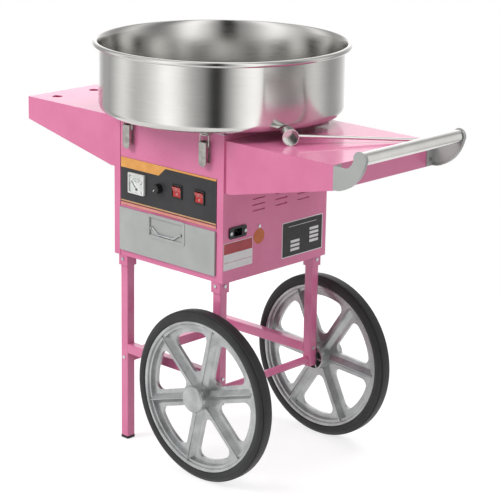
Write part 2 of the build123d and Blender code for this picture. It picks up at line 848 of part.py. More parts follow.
# Handle brackets: hooked plates with a lip along the lower edge and a tab on the shelf's end
bracket_low = shelf_top - skirt_height + 1
lip_thickness = 1.6
hook_start = (shelf_end + 14, bracket_low + 1)
hook_middle = (grip_x - 5, grip_z - 41)
hook_end = (grip_x + 14, grip_z - 4)
notch_start = (grip_x - 38, grip_z - 22)
notch_middle = (grip_x - 23, grip_z - 17)
notch_end = (grip_x - 14, grip_z - 1)
with BuildPart() as handle_brackets:
    for sy in (-1, 1):
        for cut in (False, True):
            depth = shelf_depth / 2 - (bracket_plate if cut else 0)
            with BuildSketch(front.offset(-sy * depth)):
                # The cut is the same outline moved off the lower edge by the lip's thickness.
                with Locations((-lip_thickness, lip_thickness) if cut else (0, 0)):
                    with BuildSketch(mode=Mode.PRIVATE) as hook:
                        with BuildLine():
                            Polyline(
                                notch_start,
                                (shelf_end, shelf_top - 1),
                                (shelf_end, bracket_low),
                                hook_start,
                            )
                            ThreePointArc(hook_start, hook_middle, hook_end)
                            Line(hook_end, notch_end)
                            ThreePointArc(notch_end, notch_middle, notch_start)
                        make_face()
                        with Locations((grip_x, grip_z)):
                            Circle(bracket_boss)
                    add(hook.sketch)
            if cut:
                extrude(amount=sy * bracket_lip, mode=Mode.SUBTRACT)
            else:
                extrude(amount=sy * bracket_lip)
        with BuildSketch(side.offset(shelf_end)):
            with Locations(
                (sy * (shelf_depth - bracket_tab_width) / 2, shelf_top - skirt_height / 2)
            ):
                Rectangle(bracket_tab_width, skirt_height - 2)
        extrude(amount=bracket_tab)
    drill(bracket_screws, bracket_tab)
handle_brackets.part.label = "handle_brackets"
export_step(handle_brackets.part, "parts/handle_brackets.step")

grip_length = shelf_depth - 2 * bracket_plate
with BuildPart() as handle_tube:
    with BuildSketch(front.offset(-grip_length / 2)):
        with Locations((grip_x, grip_z)):
            Circle(grip_radius)
            Circle(grip_radius - grip_wall, mode=Mode.SUBTRACT)
    extrude(amount=grip_length)
handle_tube.part.label = "handle_tube"
export_step(handle_tube.part, "parts/handle_tube.step")

# The sugar scoop lies on the right shelf, its cup on its side and its rod's end on the sheet.
scoop_rest = 0.3
scoop_wall = 1.2
scoop_turn = radians(-38.0)
scoop_aim = Vector(cos(scoop_turn), sin(scoop_turn), 0)
scoop_x = half_width + scoop_from_cabinet
scoop_y = scoop_from_edge - shelf_depth / 2
scoop_mouth = Vector(*point(scoop_x, scoop_y, shelf_top + scoop_radius + scoop_rest))
rod_drop = scoop_radius - scoop_rod
rod_aim = Vector(-scoop_aim.Y, scoop_aim.X, -rod_drop / (scoop_rod_length + scoop_radius))
cup_middle = scoop_mouth - scoop_aim * (scoop_length / 2)
with BuildPart() as sugar_scoop:
    with BuildSketch(Plane(origin=scoop_mouth, z_dir=scoop_aim)):
        Circle(scoop_radius)
    extrude(amount=-scoop_length)
    fillet(sugar_scoop.faces().sort_by(Axis(scoop_mouth, scoop_aim))[0].edges(), 3)
    with BuildSketch(Plane(origin=scoop_mouth, z_dir=scoop_aim)):
        Circle(scoop_radius - scoop_wall)
    extrude(amount=scoop_wall - scoop_length, mode=Mode.SUBTRACT)
    rod_start = cup_middle + rod_aim * (scoop_radius - 0.8)
    with BuildSketch(Plane(origin=rod_start, z_dir=rod_aim)):
        Circle(scoop_rod)
    extrude(amount=scoop_rod_length)
sugar_scoop.part.label = "sugar_scoop"
export_step(sugar_scoop.part, "parts/sugar_scoop.step")

# Bowl, spun from sheet with a rolled bead, resting on the top plate's raised seat
bead_z = bowl_floor + bowl_height
bead_centre = bowl_radius + bead_overhang + bead_radius
centre_axis = Axis(point(0, 0, 0), (0, 0, 1))
with BuildPart() as bowl:
    with BuildSketch(front):
        with BuildLine():
            Polyline(
                (bowl_radius, bowl_floor + bowl_corner),
                (bowl_radius, bead_z - bead_radius - 2),
                (bead_centre - bead_radius + 1, bead_z - 1),
                (bead_centre - bead_radius + 0.5, bead_z + 1),
                (bowl_radius - bowl_wall, bead_z - bead_radius),
                (bowl_radius - bowl_wall, bowl_floor + bowl_corner),
            )
            RadiusArc(
                (bowl_radius - bowl_wall, bowl_floor + bowl_corner),
                (bowl_radius - bowl_corner, bowl_floor + bowl_wall),
                bowl_corner - bowl_wall,
            )
            Polyline(
                (bowl_radius - bowl_corner, bowl_floor + bowl_wall),
                (bowl_opening, bowl_floor + bowl_wall),
                (bowl_opening, bowl_floor),
                (bowl_radius - bowl_corner, bowl_floor),
            )
            RadiusArc(
                (bowl_radius - bowl_corner, bowl_floor),
                (bowl_radius, bowl_floor + bowl_corner),
                -bowl_corner,
            )
        make_face()
        with Locations((bead_centre, bead_z)):
            Circle(bead_radius)
    revolve(axis=centre_axis)
bowl.part.label = "bowl"
export_step(bowl.part, "parts/bowl.step")

# Draw latches: a lever on each base lifts a wire bail off the ledge of a catch under the bowl.
latch_x = latch_spacing / 2
latch_plate = 1.5
pivot_z = cabinet_top - latch_pivot_drop
ledge_thickness = 1.2
ledge_z = bowl_floor - 11.5
bail_top = ledge_z + ledge_gap + bail_wire
ledge_reach = latch_pivot_out + 2 * bail_wire
catch_width = 16.0
web_out = 2.0
web_thick = 1.4
places = [(sx, sy) for sx in (-1, 1) for sy in (-1, 1)]


def latch_name(sx, sy):
    """The latch's place, such as left_front."""
    return ("left" if sx < 0 else "right") + "_" + ("front" if sy < 0 else "rear")


def outward(sy, out, z):
    """A point of the side view, given by its distance out of the cabinet's front or back."""
    return (sy * (half_depth + out), z)


with BuildPart() as bowl_catches:
    for sx, sy in places:
        with BuildSketch(side.offset(sx * latch_x - catch_width / 2)):
            with BuildLine():
                Polyline(
                    outward(sy, -10, bowl_floor),
                    outward(sy, web_out + web_thick, bowl_floor),
                    outward(sy, web_out + web_thick, ledge_z),
                    outward(sy, ledge_reach, ledge_z),
                    outward(sy, ledge_reach, ledge_z - ledge_thickness),
                    outward(sy, web_out, ledge_z - ledge_thickness),
                    outward(sy, web_out, bowl_floor - ledge_thickness),
                    outward(sy, -10, bowl_floor - ledge_thickness),
                    close=True,
                )
            make_face()
        extrude(amount=catch_width)
bowl_catches.part.label = "bowl_catches"
export_step(bowl_catches.part, "parts/bowl_catches.step")

ear_outer = latch_width / 2 - 2
ear_thickness = 1.0
pin_radius = 1.5
ear_radius = 3.5
cheek_inner = ear_outer + 0.4
cheek_outer = cheek_inner + 1.2
base_drop = 39.0
with BuildPart() as latch_bases:
    for sx, sy in places:
        face = Plane(
            origin=point(sx * latch_x, sy * half_depth, pivot_z), x_dir=(1, 0, 0), z_dir=(0, sy, 0)
        )
        up = -sy
        with BuildSketch(face):
            with Locations((0, up * (ear_radius + 1 - base_drop) / 2)):
                RectangleRounded(latch_width, base_drop + ear_radius + 1, 2)
        extrude(amount=latch_plate)
        for ear in (-1, 1):
            start = ear * (ear_outer - ear_thickness / 2) - ear_thickness / 2
            with BuildSketch(side.offset(sx * latch_x + start)):
                with Locations(outward(sy, latch_pivot_out, pivot_z)):
                    Circle(ear_radius)
                with Locations(outward(sy, (latch_pivot_out + latch_plate) / 2, pivot_z)):
                    Rectangle(latch_pivot_out - latch_plate, 2 * ear_radius)
            extrude(amount=ear_thickness)
        with BuildSketch(side.offset(sx * latch_x - cheek_outer - 0.3)):
            with Locations(outward(sy, latch_pivot_out, pivot_z)):
                Circle(pin_radius)
        extrude(amount=2 * (cheek_outer + 0.3))
latch_bases.part.label = "latch_bases"
export_step(latch_bases.part, "parts/latch_bases.step")

lever_out = latch_pivot_out + 6
lever_web = 1.5
stub_z = pivot_z - latch_crank
leg_out_x = cheek_outer + 0.5 + bail_wire
stub_inner = cheek_inner + 0.2
for sx, sy in places:
    with BuildPart() as lever:
        for cheek in (-1, 1):
            start = min(cheek * cheek_inner, cheek * cheek_outer)
            with BuildSketch(side.offset(sx * latch_x + start)):
                with BuildLine():
                    Polyline(
                        outward(sy, latch_pivot_out, pivot_z + ear_radius),
                        outward(sy, lever_out, pivot_z + 2),
                        outward(sy, lever_out, pivot_z - latch_lever_length + 10),
                        outward(sy, lever_out - 3, pivot_z - latch_lever_length + 10),
                        outward(sy, latch_pivot_out - 3, pivot_z - 2 * latch_crank),
                        outward(sy, latch_pivot_out - ear_radius, pivot_z),
                        close=True,
                    )
                make_face()
                with Locations(outward(sy, latch_pivot_out, pivot_z)):
                    Circle(pin_radius + 0.1, mode=Mode.SUBTRACT)
                with Locations(outward(sy, latch_pivot_out, stub_z)):
                    Circle(bail_wire + 0.1, mode=Mode.SUBTRACT)
            extrude(amount=cheek_outer - cheek_inner)
        with BuildSketch(front.offset(-sy * (half_depth + lever_out))) as strip:
            with Locations((sx * latch_x, pivot_z + 2 - latch_lever_length / 2)):
                Rectangle(2 * cheek_outer, latch_lever_length)
            fillet(strip.vertices().group_by(Axis.Y)[0], cheek_outer - 0.5)
        extrude(amount=sy * lever_web)
    lever.part.label = f"{latch_name(sx, sy)}_latch_lever"
    export_step(lever.part, f"parts/{latch_name(sx, sy)}_latch_lever.step")

    with BuildPart() as bail:
        with BuildLine(front.offset(-sy * (half_depth + latch_pivot_out))) as bail_path:
            FilletPolyline(
                (sx * latch_x - stub_inner, stub_z),
                (sx * latch_x - leg_out_x, stub_z),
                (sx * latch_x - leg_out_x, bail_top),
                (sx * latch_x + leg_out_x, bail_top),
                (sx * latch_x + leg_out_x, stub_z),
                (sx * latch_x + stub_inner, stub_z),
                radius=(1.5, 4, 4, 1.5),
            )
        with BuildSketch(side.offset(sx * latch_x - stub_inner)):
            with Locations(outward(sy, latch_pivot_out, stub_z)):
                Circle(bail_wire)
        sweep(path=bail_path.wires()[0])
    bail.part.label = f"{latch_name(sx, sy)}_latch_bail"
    export_step(bail.part, f"parts/{latch_name(sx, sy)}_latch_bail.step")

# Spinner head: a dish with a heater ring inside a band, under a cover with a sugar funnel
head_z = bowl_floor + head_lift
dish_thickness = 6.0
inner_radius = head_radius - head_wall
with BuildPart() as spinner_base:
    with BuildSketch(ground.offset(head_z - dish_thickness)):
        Circle(inner_radius)
    extrude(amount=dish_thickness)
    with BuildSketch(ground.offset(head_z - 2 * dish_thickness)):
        Circle(2 * spindle_radius)
    extrude(amount=dish_thickness)
    with BuildSketch(ground.offset(head_z - 2 * dish_thickness)):
        Circle(spindle_radius)
    extrude(amount=2 * dish_thickness, mode=Mode.SUBTRACT)
spinner_base.part.label = "spinner_base"
export_step(spinner_base.part, "parts/spinner_base.step")

with BuildPart() as spinner_band:
    with BuildSketch(ground.offset(head_z - dish_thickness)):
        Circle(head_radius)
        Circle(inner_radius, mode=Mode.SUBTRACT)
    extrude(amount=head_height)
spinner_band.part.label = "spinner_band"
export_step(spinner_band.part, "parts/spinner_band.step")

funnel_radius = 26.0
cover_z = head_z - dish_thickness + head_height
with BuildPart() as spinner_cover:
    with BuildSketch(ground.offset(cover_z)):
        Circle(head_radius)
    extrude(amount=head_wall)
    with BuildSketch(ground.offset(cover_z)):
        Circle(funnel_radius + head_wall)
    extrude(amount=5 * head_wall)
    with BuildSketch(ground.offset(cover_z)):
        Circle(funnel_radius)
    extrude(amount=5 * head_wall, mode=Mode.SUBTRACT)
spinner_cover.part.label = "spinner_cover"
export_step(spinner_cover.part, "parts/spinner_cover.step")

with BuildPart() as heater_ring:
    with BuildSketch(ground.offset(head_z)):
        Circle(inner_radius - 8)
        Circle(inner_radius - 12, mode=Mode.SUBTRACT)
    extrude(amount=head_height / 2)
heater_ring.part.label = "heater_ring"
export_step(heater_ring.part, "parts/heater_ring.step")

motor_top = panel_top - motor_drop
bearing_depth = 28.0
ring_radius = 2 * spindle_radius
ring_height = 6.0
slip_rings = (motor_top + 6, motor_top + 16)
with BuildPart() as spindle:
    with BuildSketch(ground.offset(motor_top - bearing_depth)):
        Circle(spindle_radius)
    extrude(amount=head_z - motor_top + bearing_depth)
    for slip_ring in slip_rings:
        with BuildSketch(ground.offset(slip_ring)):
            Circle(ring_radius)
        extrude(amount=ring_height)
spindle.part.label = "spindle"
export_step(spindle.part, "parts/spindle.step")

flange_thickness = 4.0
with BuildPart() as motor:
    with BuildSketch(ground.offset(motor_top)):
        RectangleRounded(motor_flange, motor_flange, 8)
    extrude(amount=-flange_thickness)
    with BuildSketch(ground.offset(motor_top - flange_thickness)):
        Circle(motor_radius)
    extrude(amount=-motor_length)
    with BuildSketch(ground.offset(motor_top)):
        Circle(spindle_radius + axle_fit)
    extrude(amount=-bearing_depth - 1, mode=Mode.SUBTRACT)
motor.part.label = "motor"
export_step(motor.part, "parts/motor.step")

mount_radius = 7.0
mount_spacing = motor_flange - 24
with BuildPart() as motor_mounts:
    with BuildSketch(ground.offset(motor_top)):
        with GridLocations(mount_spacing, mount_spacing, 2, 2):
            Circle(mount_radius)
    extrude(amount=motor_drop)
motor_mounts.part.label = "motor_mounts"
export_step(motor_mounts.part, "parts/motor_mounts.step")

brush_gap = 0.3
brush_reach = 8.0
with BuildPart() as brush_block:
    with BuildSketch(ground.offset(motor_top)):
        with Locations((ring_radius + brush_gap + brush_reach, 0)):
            Rectangle(18, 20, align=(Align.MIN, Align.CENTER))
    extrude(amount=motor_drop - 4)
    for slip_ring in slip_rings:
        with BuildSketch(ground.offset(slip_ring + 1)):
            with Locations((ring_radius + brush_gap, 0)):
                Rectangle(brush_reach, 5, align=(Align.MIN, Align.CENTER))
        extrude(amount=ring_height - 2)
brush_block.part.label = "brush_block"
export_step(brush_block.part, "parts/brush_block.step")

# Screws, and the two push-on rings that keep the wheels on the rod
with BuildPart() as frame_screws:
    for place in socket_screws + leg_screws + inlet_screws + bracket_screws + [ground_screw]:
        with BuildSketch(place):
            Circle(screw_head)
        extrude(amount=screw_head_height)
        with BuildSketch(place):
            Circle(screw_radius)
        extrude(amount=-screw_length)
    for sy in (-1, 1):
        with BuildSketch(front.offset(-sy * (wheel_y + hub_outer + sheet_gap))):
            with Locations((leg_x, axle_height)):
                Circle(axle_radius + 4)
                Circle(axle_radius, mode=Mode.SUBTRACT)
        extrude(amount=-sy * ring_thickness)
frame_screws.part.label = "frame_screws"
export_step(frame_screws.part, "parts/frame_screws.step")
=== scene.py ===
import json
from math import cos, pi, radians, sin

import bmesh
import bpy
from mathutils import Matrix, Vector


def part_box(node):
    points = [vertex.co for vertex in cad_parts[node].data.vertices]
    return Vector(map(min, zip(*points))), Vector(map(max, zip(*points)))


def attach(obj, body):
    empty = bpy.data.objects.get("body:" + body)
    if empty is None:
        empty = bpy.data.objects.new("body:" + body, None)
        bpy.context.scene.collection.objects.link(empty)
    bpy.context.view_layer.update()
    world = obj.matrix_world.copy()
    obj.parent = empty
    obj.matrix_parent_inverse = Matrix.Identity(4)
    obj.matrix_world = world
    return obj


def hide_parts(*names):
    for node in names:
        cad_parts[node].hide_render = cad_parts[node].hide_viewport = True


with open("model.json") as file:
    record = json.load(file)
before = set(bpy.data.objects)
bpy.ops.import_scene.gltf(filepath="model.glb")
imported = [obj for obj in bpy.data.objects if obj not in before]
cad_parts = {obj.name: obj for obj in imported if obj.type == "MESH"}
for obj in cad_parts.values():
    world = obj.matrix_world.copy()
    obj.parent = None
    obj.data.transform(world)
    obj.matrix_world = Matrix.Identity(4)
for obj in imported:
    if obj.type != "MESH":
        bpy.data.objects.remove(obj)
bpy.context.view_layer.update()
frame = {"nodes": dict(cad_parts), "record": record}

mm = 0.001
print("frame loaded with", len(frame["nodes"]), "nodes")


def centreOf(node):
    low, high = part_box(node)
    return (low + high) / 2


# the sheet-metal box that everything is placed from, and its right side's outer face
cabinetX = centreOf("top_plate").x
sideFace = 154
wheelSides = (("front", -1), ("rear", 1))


def at(x, y, z):  # millimetres from the foot of the cabinet's middle
    return Vector((cabinetX + x * mm, y * mm, z * mm))


# camera: from above, looking at the corner between the controls and the handle side
camera = {
    "place": (2541.3, -2632.3, 1469.5),
    "yaw": -43.03,
    "pitch": 16.114,
    "roll": 0.962,
    "focalPixels": 1850,
    "framePixels": 500,
    "sensor": 36,
    "reach": 50,
}


def addCamera(spec):
    lens = bpy.data.cameras.new("photoCamera")
    lens.sensor_width = spec["sensor"]
    lens.lens = spec["focalPixels"] / spec["framePixels"] * spec["sensor"]
    lens.clip_end = spec["reach"]
    eye = bpy.data.objects.new("photoCamera", lens)
    bpy.context.scene.collection.objects.link(eye)
    yaw, pitch, roll = (radians(spec[key]) for key in ("yaw", "pitch", "roll"))
    ahead = Vector((sin(yaw) * cos(pitch), cos(yaw) * cos(pitch), -sin(pitch)))
    level = ahead.cross(Vector((0, 0, 1))).normalized()
    upright = level.cross(ahead)
    right = cos(roll) * level + sin(roll) * upright
    up = cos(roll) * upright - sin(roll) * level
    turn = Matrix((right, up, -ahead)).transposed()
    eye.matrix_world = Matrix.Translation(at(*spec["place"])) @ turn.to_4x4()
    bpy.context.scene.camera = eye
    bpy.context.scene.view_settings.view_transform = "Standard"


addCamera(camera)


def toLinear(hexCode):
    channels = [int(hexCode[i:i + 2], 16) / 255 for i in (1, 3, 5)]
    return [c / 12.92 if c <= 0.04045 else ((c + 0.055) / 1.055) ** 2.4 for c in channels] + [1]


def addNode(tree, kind, settings=None, links=None):
    node = tree.nodes.new(kind)
    for name, value in (settings or {}).items():
        if isinstance(name, int) or name in node.inputs:
            node.inputs[name].default_value = value
        else:
            setattr(node, name, value)
    for name, source in (links or {}).items():
        tree.links.new(source, node.inputs[name])
    return node


# studio: a white floor and surroundings, soft lamps, and a ring of softboxes and flags for the metal
studio = {
    "floor": "#E6E6E6",
    "floorRadius": 1.25,
    "floorSegments": 128,
    "whiten": 0.72,  # what the floor glows for the eye and for metal, under the light it scatters
    "scatter": 0.42,
    "ambient": 0.54,
    "lamps": {
        "keyLamp": {"power": 94, "size": 2.0, "place": (-1.5, -3.0, 2.9)},
        "topLamp": {"power": 34, "size": 2.0, "place": (0.6, 0.9, 3.0)},
    },
    "aim": (0, 0, 0.5),
    "ringLevel": 1.65,
    "ring": (  # once round, as (share of the turn, brightness)
        (0.02, 0.35), (0.08, 0.75), (0.13, 0.50), (0.19, 0.75), (0.23, 1.0),
        (0.28, 0.58), (0.33, 0.20), (0.358, 0.02), (0.38, 0.20), (0.41, 0.62),
        (0.46, 1.0), (0.51, 0.42), (0.555, 0.20), (0.60, 0.40), (0.64, 0.60),
        (0.71, 0.30), (0.80, 0.60), (0.87, 0.95), (0.93, 0.60), (0.97, 0.35),
    ),
}


def addLamp(name, spec, aim):
    lamp = bpy.data.lights.new(name, "AREA")
    lamp.energy = spec["power"]
    lamp.size = spec["size"]
    holder = bpy.data.objects.new(name, lamp)
    bpy.context.scene.collection.objects.link(holder)
    holder.visible_glossy = False  # metal and gloss see the ring of softboxes instead
    holder.location = spec["place"]
    ahead = Vector(aim) - Vector(spec["place"])
    holder.rotation_euler = ahead.to_track_quat("-Z", "Y").to_euler()


# the light path, and a value that is one where a ray comes from the eye, from metal or through glass
def addSeen(tree):
    rays = addNode(tree, "ShaderNodeLightPath")
    mirrored = addNode(tree, "ShaderNodeMath", {"operation": "MAXIMUM"},
                       {0: rays.outputs["Is Glossy Ray"], 1: rays.outputs["Is Transmission Ray"]})
    either = addNode(tree, "ShaderNodeMath", {"operation": "MAXIMUM"},
                     {0: rays.outputs["Is Camera Ray"], 1: mirrored.outputs[0]})
    return rays, either.outputs[0]


def addFloor(spec):
    sheet = bmesh.new()
    bmesh.ops.create_circle(sheet, cap_ends=True, segments=spec["floorSegments"],
                            radius=spec["floorRadius"])
    mesh = bpy.data.meshes.new("studioFloor")
    sheet.to_mesh(mesh)
    sheet.free()
    floor = bpy.data.objects.new("studioFloor", mesh)
    bpy.context.scene.collection.objects.link(floor)
    paint = bpy.data.materials.new("paleFloor")
    paint.use_nodes = True
    tree = paint.node_tree
    tree.nodes.clear()
    matte = addNode(tree, "ShaderNodeBsdfDiffuse", {"Color": toLinear(spec["floor"])})
    share = spec["scatter"]
    shaded = addNode(tree, "ShaderNodeBsdfDiffuse", {"Color": (share, share, share, 1)})
    glow = addNode(tree, "ShaderNodeEmission", {"Strength": spec["whiten"]})
    white = addNode(tree, "ShaderNodeAddShader", {}, {0: shaded.outputs[0], 1: glow.outputs[0]})
    shown = addNode(tree, "ShaderNodeMixShader", {},
                    {0: addSeen(tree)[1], 1: matte.outputs[0], 2: white.outputs[0]})
    addNode(tree, "ShaderNodeOutputMaterial", {}, {"Surface": shown.outputs[0]})
    mesh.materials.append(paint)


def addWorld(spec):
    world = bpy.data.worlds.new("studioWorld")
    bpy.context.scene.world = world
    world.use_nodes = True
    tree = world.node_tree
    tree.nodes.clear()
    coords = addNode(tree, "ShaderNodeTexCoord")
    way = addNode(tree, "ShaderNodeSeparateXYZ", {}, {0: coords.outputs["Generated"]})
    turn = addNode(tree, "ShaderNodeMath", {"operation": "ARCTAN2"},
                   {0: way.outputs["Y"], 1: way.outputs["X"]})
    share = addNode(tree, "ShaderNodeMapRange", {"From Min": -pi, "From Max": pi},
                    {"Value": turn.outputs[0]})
    ring = addNode(tree, "ShaderNodeValToRGB", {}, {0: share.outputs[0]})
    ring.color_ramp.interpolation = "CARDINAL"
    stops = ring.color_ramp.elements
    stops.remove(stops[1])
    for i, (place, level) in enumerate(spec["ring"]):
        stop = stops.new(place) if i else stops[0]
        stop.position = place
        stop.color = (level, level, level, 1)
    light = addNode(tree, "ShaderNodeBackground", {"Strength": spec["ambient"], "Color": (1, 1, 1, 1)})
    white = addNode(tree, "ShaderNodeBackground", {"Strength": 1, "Color": (1, 1, 1, 1)})
    boxes = addNode(tree, "ShaderNodeBackground", {"Strength": spec["ringLevel"]},
                    {"Color": ring.outputs[0]})
    rays, seen = addSeen(tree)
    behind = addNode(tree, "ShaderNodeMixShader", {},
                     {0: rays.outputs["Is Glossy Ray"], 1: white.outputs[0], 2: boxes.outputs[0]})
    shown = addNode(tree, "ShaderNodeMixShader", {},
                    {0: seen, 1: light.outputs[0], 2: behind.outputs[0]})
    addNode(tree, "ShaderNodeOutputWorld", {}, {"Surface": shown.outputs[0]})


addFloor(studio)
addWorld(studio)
for lampName, lampSpec in studio["lamps"].items():
    addLamp(lampName, lampSpec, studio["aim"])
print("studio lit")


# what the finishes share: the part of the noise that spreads their shades and their roughness
noise = {
    "patchDetail": 3.0, "grainDetail": 2.0, "shade": (0.35, 0.65), "rough": (0.3, 0.7),
    "edge": 0.5, "edgeSamples": 4, "relief": 0.2,
}


# Every finish has two shades that mottle into each other, a spread of roughness, and a fine relief.
# Patches and grain are real sizes in millimetres, and stretch draws the grain out along an axis.
def addFinish(name, spec):
    finish = bpy.data.materials.new(name)
    finish.use_nodes = True
    tree = finish.node_tree
    tree.nodes.clear()
    coords = addNode(tree, "ShaderNodeTexCoord").outputs["Object"]
    patches = addNode(tree, "ShaderNodeTexNoise",
                      {"Scale": 1 / (spec["patch"] * mm), "Detail": noise["patchDetail"]},
                      {"Vector": coords})
    drawn = addNode(tree, "ShaderNodeMapping", {"Scale": spec.get("stretch", (1, 1, 1))},
                    {"Vector": coords})
    grain = addNode(tree, "ShaderNodeTexNoise",
                    {"Scale": 1 / (spec["grain"] * mm), "Detail": noise["grainDetail"]},
                    {"Vector": drawn.outputs[0]})
    share = patches.outputs[0]
    if "streak" in spec:  # how far the colour follows the grain rather than the patches
        share = addNode(tree, "ShaderNodeMix", {0: spec["streak"]},
                        {2: patches.outputs[0], 3: grain.outputs[0]}).outputs[0]
    least, most = noise["shade"]
    spread = addNode(tree, "ShaderNodeMapRange", {"From Min": least, "From Max": most},
                     {"Value": share})
    dark, pale = (toLinear(hexCode) for hexCode in spec["shades"])
    shade = addNode(tree, "ShaderNodeMix", {"data_type": "RGBA", 6: dark, 7: pale},
                    {0: spread.outputs[0]})
    least, most = noise["rough"]
    low, high = spec["roughness"]
    rough = addNode(tree, "ShaderNodeMapRange",
                    {"From Min": least, "From Max": most, "To Min": low, "To Max": high},
                    {"Value": grain.outputs[0]})
    edge = spec.get("edge", noise["edge"]) * mm
    rounded = addNode(tree, "ShaderNodeBevel", {"samples": noise["edgeSamples"], "Radius": edge})
    relief = addNode(tree, "ShaderNodeBump",
                     {"Strength": spec.get("relief", noise["relief"]), "Distance": spec["depth"] * mm},
                     {"Height": grain.outputs[0], "Normal": rounded.outputs[0]})
    links = {"Base Color": shade.outputs[2], "Roughness": rough.outputs[0], "Normal": relief.outputs[0]}
    body = addNode(tree, "ShaderNodeBsdfPrincipled", spec.get("sockets", {}), links)
    if "radial" in spec:  # brushed round and round as it was spun
        tangent = addNode(tree, "ShaderNodeTangent", {"direction_type": "RADIAL", "axis": "Z"})
        tree.links.new(tangent.outputs[0], body.inputs["Tangent"])
    addNode(tree, "ShaderNodeOutputMaterial", {}, {"Surface": body.outputs[0]})
    return finish


# stoved enamel over sheet steel: a hard gloss with the faint ripple of sprayed paint
pinkEnamel = addFinish("pinkEnamel", {
    "shades": ("#DA739E", "#E07DA6"), "patch": 90, "grain": 2.2, "depth": 0.03,
    "roughness": (0.26, 0.36),
    "edge": 0.9, "sockets": {"Specular IOR Level": 0.3, "Coat Weight": 0.55, "Coat Roughness": 0.07},
})
# the same paint in light grey, on the drawer's front and the handle plates
greyEnamel = addFinish("greyEnamel", {
    "shades": ("#A6A8A6", "#B0B2B0"), "patch": 60, "grain": 1.6, "depth": 0.02,
    "roughness": (0.3, 0.42), "edge": 0.7, "sockets": {"Coat Weight": 0.15, "Coat Roughness": 0.15},
})
# hot-dip zinc on plain sheet: grey spangles the size of a fingernail
galvanisedSheet = addFinish("galvanisedSheet", {
    "shades": ("#A9ADB0", "#C6C9CB"), "patch": 9, "grain": 1.2, "depth": 0.01,
    "roughness": (0.32, 0.5), "sockets": {"Metallic": 1.0},
})
# spun stainless, brushed round and round: light spreads up and down the wall in bands
spunStainless = addFinish("spunStainless", {
    "shades": ("#BFBEBB", "#CBCAC7"), "patch": 110, "grain": 0.9, "depth": 0.004,
    "roughness": (0.13, 0.18),
    "stretch": (0.02, 0.02, 1), "streak": 0.35, "radial": True, "relief": 0.08,
    "sockets": {"Metallic": 1.0, "Anisotropic": 0.5, "Anisotropic Rotation": 0.25},
})
# polished stainless tube and small pressings, drawn lengthways along the push handle
drawnStainless = addFinish("drawnStainless", {
    "shades": ("#CDCCC9", "#DEDDDA"), "patch": 50, "grain": 0.8, "depth": 0.008,
    "roughness": (0.12, 0.22), "stretch": (1, 0.02, 1), "streak": 0.5, "relief": 0.1,
    "sockets": {"Metallic": 1.0},
})
# bright zinc plate on rods, wire and screws: slightly cloudy
zincPlate = addFinish("zincPlate", {
    "shades": ("#B5B8BB", "#D2D3D3"), "patch": 14, "grain": 0.9, "depth": 0.01,
    "roughness": (0.2, 0.34), "edge": 0.3, "sockets": {"Metallic": 1.0},
})
# bright nickel on the stamped latches: sharp reflections with tiny handling marks
brightNickel = addFinish("brightNickel", {
    "shades": ("#A3A09B", "#BDBAB5"), "patch": 12, "grain": 0.6, "depth": 0.008,
    "roughness": (0.1, 0.24), "edge": 0.4, "sockets": {"Metallic": 1.0},
})
# silver-grey nylon with metal flake, moulded: a soft sheen over a fine spark-eroded texture
silverNylon = addFinish("silverNylon", {
    "shades": ("#A2A4A4", "#B9BBBB"), "patch": 30, "grain": 0.7, "depth": 0.02,
    "roughness": (0.24, 0.34),
    "edge": 0.6, "sockets": {"Metallic": 0.75, "Coat Weight": 0.2, "Coat Roughness": 0.15},
})
# solid black tyre rubber: dull, a little bloomed, with a fine pebble
tyreRubber = addFinish("tyreRubber", {
    "shades": ("#242425", "#2D2D2E"), "patch": 40, "grain": 0.9, "depth": 0.05,
    "roughness": (0.42, 0.6), "edge": 0.8, "sockets": {"Specular IOR Level": 0.4},
})
# soft black rubber of the feet and the motor's posts
softRubber = addFinish("softRubber", {
    "shades": ("#161616", "#1F1F20"), "patch": 20, "grain": 0.7, "depth": 0.04,
    "roughness": (0.55, 0.75), "edge": 0.6,
})
# charcoal screen print on a thin panel: satin, with the print's fine tooth
charcoalPrint = addFinish("charcoalPrint", {
    "shades": ("#303032", "#38383A"), "patch": 40, "grain": 0.6, "depth": 0.008,
    "roughness": (0.4, 0.52), "edge": 0.2, "sockets": {"Specular IOR Level": 0.3},
})
# moulded black plastic of the knob, the bezels and the inlet: satin with a spark-eroded grain
blackPlastic = addFinish("blackPlastic", {
    "shades": ("#131314", "#1C1C1D"), "patch": 12, "grain": 0.5, "depth": 0.02,
    "roughness": (0.3, 0.45), "edge": 0.4,
})
# off-white moulded case of the meter, and its dial
whitePlastic = addFinish("whitePlastic", {
    "shades": ("#DDDEDC", "#E6E7E5"), "patch": 15, "grain": 0.5, "depth": 0.01,
    "roughness": (0.25, 0.38), "edge": 0.5,
})
# translucent red plastic of the lit rockers
redPlastic = addFinish("redPlastic", {
    "shades": ("#A80E10", "#C4171A"), "patch": 8, "grain": 0.5, "depth": 0.01,
    "roughness": (0.12, 0.22),
    "edge": 0.4, "sockets": {"Coat Weight": 0.4, "Subsurface Weight": 0.2, "Subsurface Scale": 0.004},
})
# clear acrylic over the dial
clearAcrylic = addFinish("clearAcrylic", {
    "shades": ("#F4F7F6", "#FFFFFF"), "patch": 20, "grain": 3.0, "depth": 0.002,
    "roughness": (0.02, 0.05), "edge": 0.1, "sockets": {"Transmission Weight": 1.0, "IOR": 1.2},
})
# spun aluminium of the spinner head: matt, turned rings
spunAluminium = addFinish("spunAluminium", {
    "shades": ("#B4B5B7", "#CBCCCE"), "patch": 25, "grain": 0.9, "depth": 0.015,
    "roughness": (0.28, 0.42), "stretch": (0.1, 0.1, 1), "streak": 0.5, "radial": True,
    "sockets": {"Metallic": 1.0, "Anisotropic": 0.6},
})
